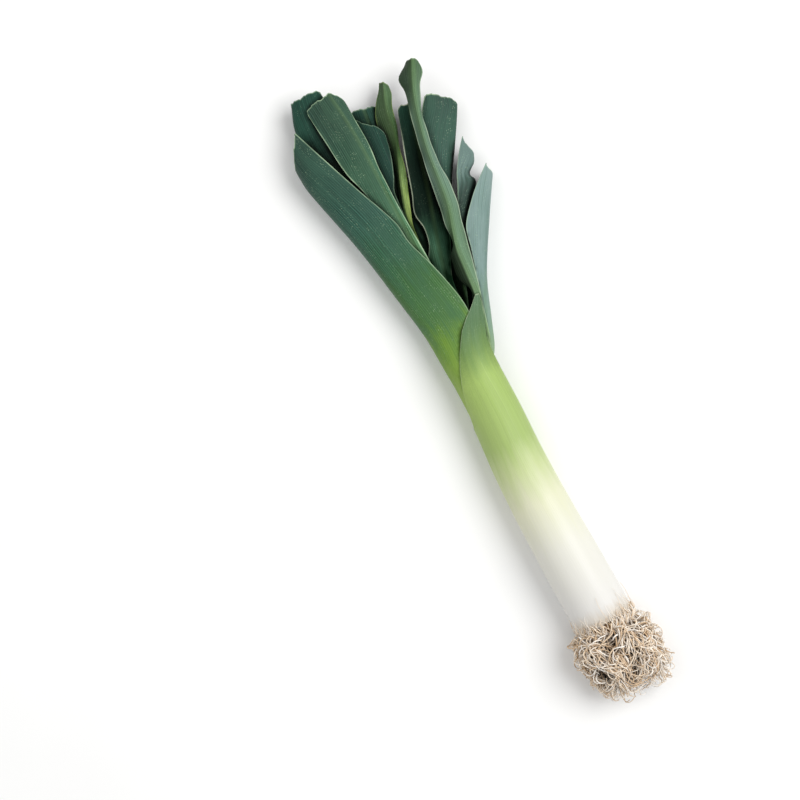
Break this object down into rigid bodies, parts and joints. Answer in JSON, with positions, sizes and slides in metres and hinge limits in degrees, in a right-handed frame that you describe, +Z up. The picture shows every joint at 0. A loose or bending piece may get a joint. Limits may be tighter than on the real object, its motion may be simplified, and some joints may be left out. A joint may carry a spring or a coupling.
{
  "type": "leek",
  "caption": "Leek lying on its side: white shaft, fan of trimmed green leaves and a tuft of roots.",
  "frame": {"origin": "centre of the bounding box in plan, on the surface that the leek lies on", "axes": "+X along the leek from the roots to the leaf tips, +Y to the left of it, +Z up"},
  "size_m": [0.4036, 0.1056, 0.0376],
  "materials": {
    "sheath": "satin",
    "leaf": "satin",
    "pale_leaf": "satin",
    "root": "matt"
  },
  "bodies": {
    "root": {"roots": "root", "front_leaf": "sheath", "left_broad_leaf": "leaf", "long_folded_leaf": "leaf", "right_pointed_leaf": "pale_leaf", "second_broad_leaf": "leaf", "curled_leaf": "pale_leaf", "back_left_leaf": "leaf", "upright_right_leaf": "leaf", "middle_leaf": "leaf", "inner_dark_leaf": "leaf", "narrow_pale_leaf": "pale_leaf", "heart_leaf": "leaf"}
  },
  "joints": []
}
